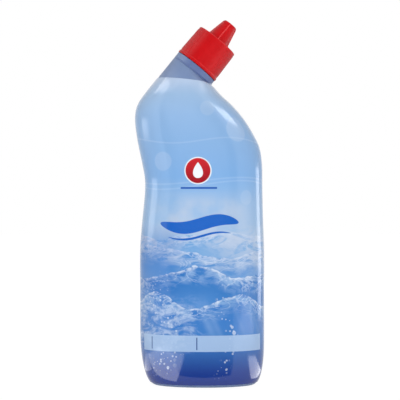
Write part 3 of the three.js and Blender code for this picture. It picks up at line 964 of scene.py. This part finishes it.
def make_nozzle():
    """Plug, flange and tapered spout with its hole, as one closed profile turned about the neck."""
    under = MOUTH_HEIGHT + SEAT_GAP
    over = under + FLANGE
    plug = MOUTH_RADIUS - SEAT_GAP
    roof_under = CAP_HEIGHT - CAP_ROOF
    tip = CAP_HEIGHT + CONE_HEIGHT - CONE_WALL - SPOUT_TIP_GAP
    foot = min(cone_inside(roof_under), RING_BORE) - SPOUT_CLEARANCE
    spout_tip = cone_inside(tip) - SPOUT_CLEARANCE
    flange = FINISH_RADIUS - FLANGE_INSET
    profile = spaced(rounded([
        [ORIFICE_RADIUS, tip - 0.5 * MM],
        [ORIFICE_RADIUS, tip - 2 * SPOUT_WALL],
        [foot - SPOUT_WALL, over],
        [foot - SPOUT_WALL, under],
        [plug - PLUG_WALL, under],
        [plug - PLUG_WALL - PLUG_TAPER, under - PLUG_LENGTH],
        [plug - PLUG_TAPER, under - PLUG_LENGTH],
        [plug, under - PLUG_LENGTH + 2 * PLUG_TAPER],
        [plug, under],
        [flange, under],
        [flange, over],
        [foot, over],
        [spout_tip, tip],
        [ORIFICE_RADIUS, tip],
    ], 0.3 * MM, 4), 0.8 * MM)
    nozzle = surface("pour_nozzle", turned(profile, 128), loop=True)
    finish = plain_plastic("nozzle_plastic", (236, 238, 236), (222, 226, 226), 0.38, 900, 0.02 * MM)
    add_piece(nozzle, finish, "bottle", "nozzle_plastic", "nozzle")


def make_sealing_ring():
    """A soft flat ring: a rectangle with rounded edges turned about the neck."""
    low = MOUTH_HEIGHT + FLANGE + 2 * SEAT_GAP
    high = CAP_HEIGHT - CAP_ROOF - SEAT_GAP / 2
    outer = CAP_BORE - SEAT_GAP
    profile = spaced(rounded([
        [RING_BORE, between(low, high, 0.5)],
        [RING_BORE, low],
        [outer, low],
        [outer, high],
        [RING_BORE, high],
        [RING_BORE, between(low, high, 0.6)],
    ], 0.25 * MM, 4), 0.8 * MM)
    ring = surface("foam_ring", turned(profile, 128), loop=True)
    finish = plain_plastic("ring_foam", (244, 243, 238), (232, 231, 226), 0.8, 1600, 0.08 * MM)
    add_piece(ring, finish, "seal", "ring_foam", "sealing_ring")


def make_gel():
    """The fill: the cavity's rings drawn in by the seat gap, up to a surface that dips in the middle."""
    rings = moved_out(body_rings(10, 128), -(WALL + SEAT_GAP))
    floor = BASE_RISE + WALL + SEAT_GAP

    def low(points):
        return floor + 0 * points[:, :, 2]

    def high(points):
        return FILL_HEIGHT + 0 * points[:, :, 2]

    wall = cut_between(rings, low, high, 110)
    centre = wall[-1].mean(0)
    inward = np.linspace(1, 0.03, 14)[1:, None, None]
    top = centre + (wall[-1] - centre) * inward
    top[:, :, 2] = FILL_HEIGHT - MENISCUS * (1 - inward[:, :, 0] ** 6)
    gel = surface("gel_fill", np.vstack([wall, top]))
    finish = plain_plastic("gel", (30, 104, 190), (22, 84, 168), 0.08, 60, 0.1 * MM)
    add_piece(gel, finish, "bottle", "gel", "cleaning_gel")


def white_for_camera(tree, plain, share, strength):
    """A shader that shows a share of plain white to the camera and to mirrored and refracted rays."""
    path = tree.nodes.new("ShaderNodeLightPath")
    white = tree.nodes.new("ShaderNodeEmission")
    white.inputs["Color"].default_value = (1, 1, 1, 1)
    white.inputs["Strength"].default_value = strength
    seen = None
    for ray in ("Is Camera Ray", "Is Glossy Ray", "Is Transmission Ray"):
        if seen is None:
            seen = path.outputs[ray]
            continue
        join = tree.nodes.new("ShaderNodeMath")
        join.operation = "MAXIMUM"
        tree.links.new(seen, join.inputs[0])
        tree.links.new(path.outputs[ray], join.inputs[1])
        seen = join.outputs[0]
    part = tree.nodes.new("ShaderNodeMath")
    part.operation = "MULTIPLY"
    part.inputs[1].default_value = share
    tree.links.new(seen, part.inputs[0])
    mixed = tree.nodes.new("ShaderNodeMixShader")
    tree.links.new(part.outputs[0], mixed.inputs[0])
    tree.links.new(plain, mixed.inputs[1])
    tree.links.new(white.outputs[0], mixed.inputs[2])
    return mixed.outputs[0]


def studio_material(name, base, rough, specular):
    material = bpy.data.materials.new(name)
    material.use_nodes = True
    shader = material.node_tree.nodes["Principled BSDF"]
    shader.inputs["Base Color"].default_value = base
    shader.inputs["Roughness"].default_value = rough
    shader.inputs["Specular IOR Level"].default_value = specular
    return material


def make_flag(name, corners):
    """A matt black sheet through four corners, which darkens the gloss and isn't seen itself. The
    sheet on the floor leaves the floor's colour as it is."""
    mesh = bpy.data.meshes.new(name)
    mesh.from_pydata(corners, [], [(0, 1, 2, 3)])
    mesh.materials.append(studio_material(name, (0.02, 0.02, 0.02, 1), 0.5, 0))
    flag = bpy.data.objects.new(name, mesh)
    flag.visible_camera = False
    flag.visible_shadow = False
    flag.visible_diffuse = name != "flag_on_floor"
    bpy.context.scene.collection.objects.link(flag)


def make_floor():
    bpy.ops.mesh.primitive_plane_add(size=8)
    floor = bpy.context.object
    floor.name = "floor"
    material = studio_material("floor_white", (0.9, 0.9, 0.9, 1), 0.9, 0.5)
    tree = material.node_tree
    plain = tree.nodes["Principled BSDF"].outputs[0]
    shown = white_for_camera(tree, plain, FLOOR_WHITE_SHARE, FLOOR_WHITE)
    tree.links.new(shown, tree.nodes["Material Output"].inputs["Surface"])
    floor.data.materials.append(material)


def make_world():
    world = bpy.data.worlds.new("surround")
    bpy.context.scene.world = world
    world.use_nodes = True
    tree = world.node_tree
    background = tree.nodes["Background"]
    background.inputs["Color"].default_value = (1, 1, 1, 1)
    background.inputs["Strength"].default_value = WORLD_STRENGTH
    shown = white_for_camera(tree, background.outputs[0], 1, 1)
    tree.links.new(shown, tree.nodes["World Output"].inputs["Surface"])


def facing(spot, aim):
    """The turn that points a lamp's -Z from its spot to the aim."""
    way = np.array(aim) - np.array(spot)
    return (
        math.atan2(np.hypot(way[0], way[1]), -way[2]),
        0,
        math.atan2(way[1], way[0]) - math.pi / 2,
    )


def make_lamp(name, spot, size, power, turn, in_gloss):
    """A rectangular lamp that shows either in the gloss alone or in the colours alone."""
    light = bpy.data.lights.new(name, "AREA")
    light.shape = "RECTANGLE"
    light.size, light.size_y = size
    light.energy = power
    lamp = bpy.data.objects.new(name, light)
    lamp.location = spot
    lamp.rotation_euler = turn
    lamp.visible_camera = False
    lamp.visible_glossy = in_gloss
    lamp.visible_diffuse = not in_gloss
    bpy.context.scene.collection.objects.link(lamp)


def make_studio():
    """White floor and surround. Broad fills in front and behind light the colours without a mirror
    image, dark flags keep the gloss of the front clear, and boxes and cards beside the bottle show
    in it."""
    make_floor()
    make_world()
    for name, corners in FLAGS.items():
        make_flag(name, corners)
    for name, (spot, size, power, aim) in FILLS.items():
        make_lamp(name, spot, size, power, facing(spot, aim), False)
    for name, (spot, size, power, aim) in BOXES.items():
        make_lamp(name, spot, size, power, facing(spot, aim), True)
    for name, (spot, size, power, degrees) in CARDS.items():
        make_lamp(name, spot, size, power, (math.pi, 0, math.radians(degrees)), True)


def make_camera():
    data = bpy.data.cameras.new("camera")
    data.lens = LENS
    data.sensor_width = SENSOR_WIDTH
    camera = bpy.data.objects.new("camera", data)
    camera.location = CAMERA
    camera.rotation_euler = (math.pi / 2, 0, 0)
    bpy.context.scene.collection.objects.link(camera)
    bpy.context.scene.camera = camera


make_camera()
make_studio()
make_bottle()
make_sleeve()
make_nozzle()
make_sealing_ring()
make_gel()
make_cap()

bpy.context.scene.view_settings.view_transform = "Standard"
